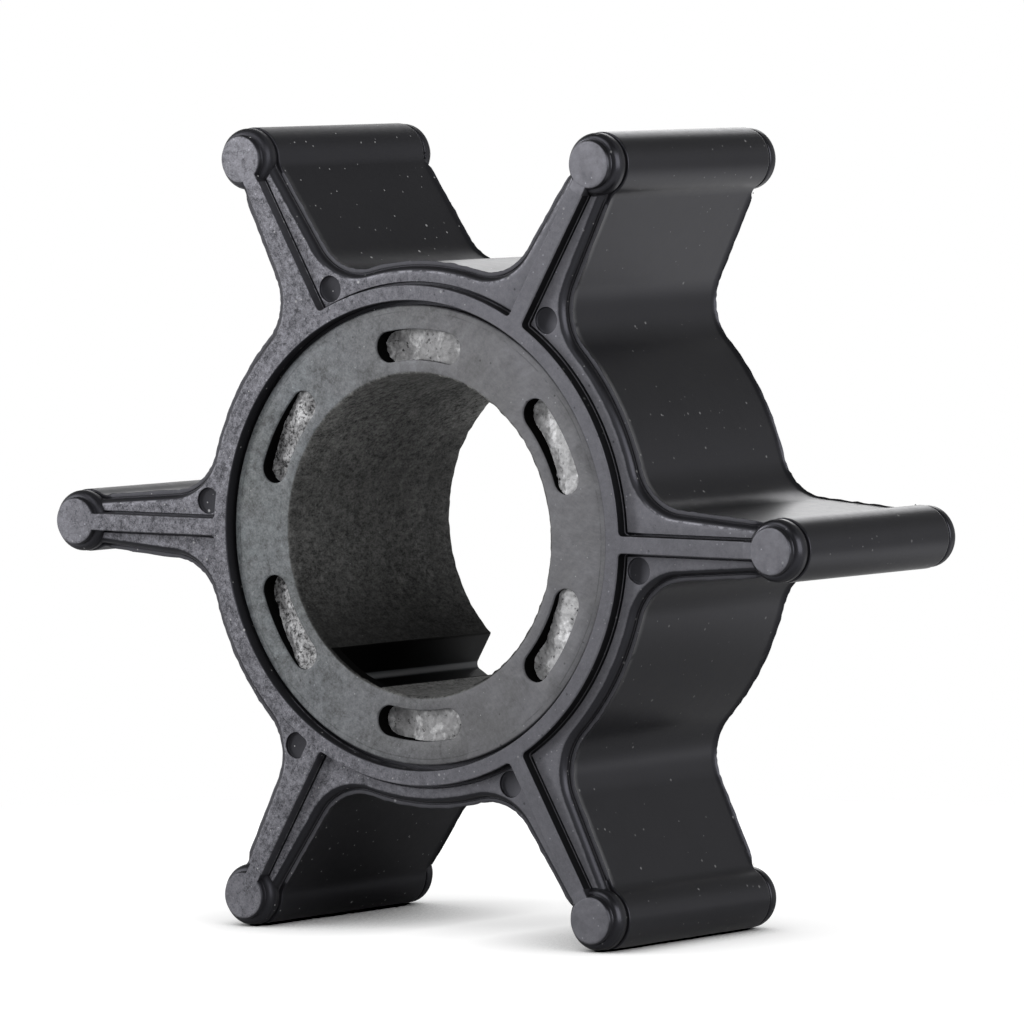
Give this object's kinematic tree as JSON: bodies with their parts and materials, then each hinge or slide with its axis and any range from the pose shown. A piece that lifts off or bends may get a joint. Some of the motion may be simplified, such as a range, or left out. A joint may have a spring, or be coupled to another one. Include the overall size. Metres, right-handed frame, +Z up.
{
  "type": "rubber pump impeller",
  "caption": "Flexible-vane water pump impeller: ribbed rubber vanes with beaded tips on a ringed hub, bonded round a keyed, slotted bush.",
  "frame": {"origin": "middle of the bore, halfway between the two side faces", "axes": "+Y along the shaft axis and out of the plain back face, -Y out of the slotted front face, +Z up with the part standing on its two lower vanes, +X to the right seen from the front"},
  "size_m": [0.0548, 0.0176, 0.048],
  "materials": {
    "rubber": "matt moulded black rubber",
    "bush": "matt moulded dark grey"
  },
  "bodies": {
    "root": {"rubber_body": "rubber", "hub_bush": "bush"}
  },
  "joints": []
}
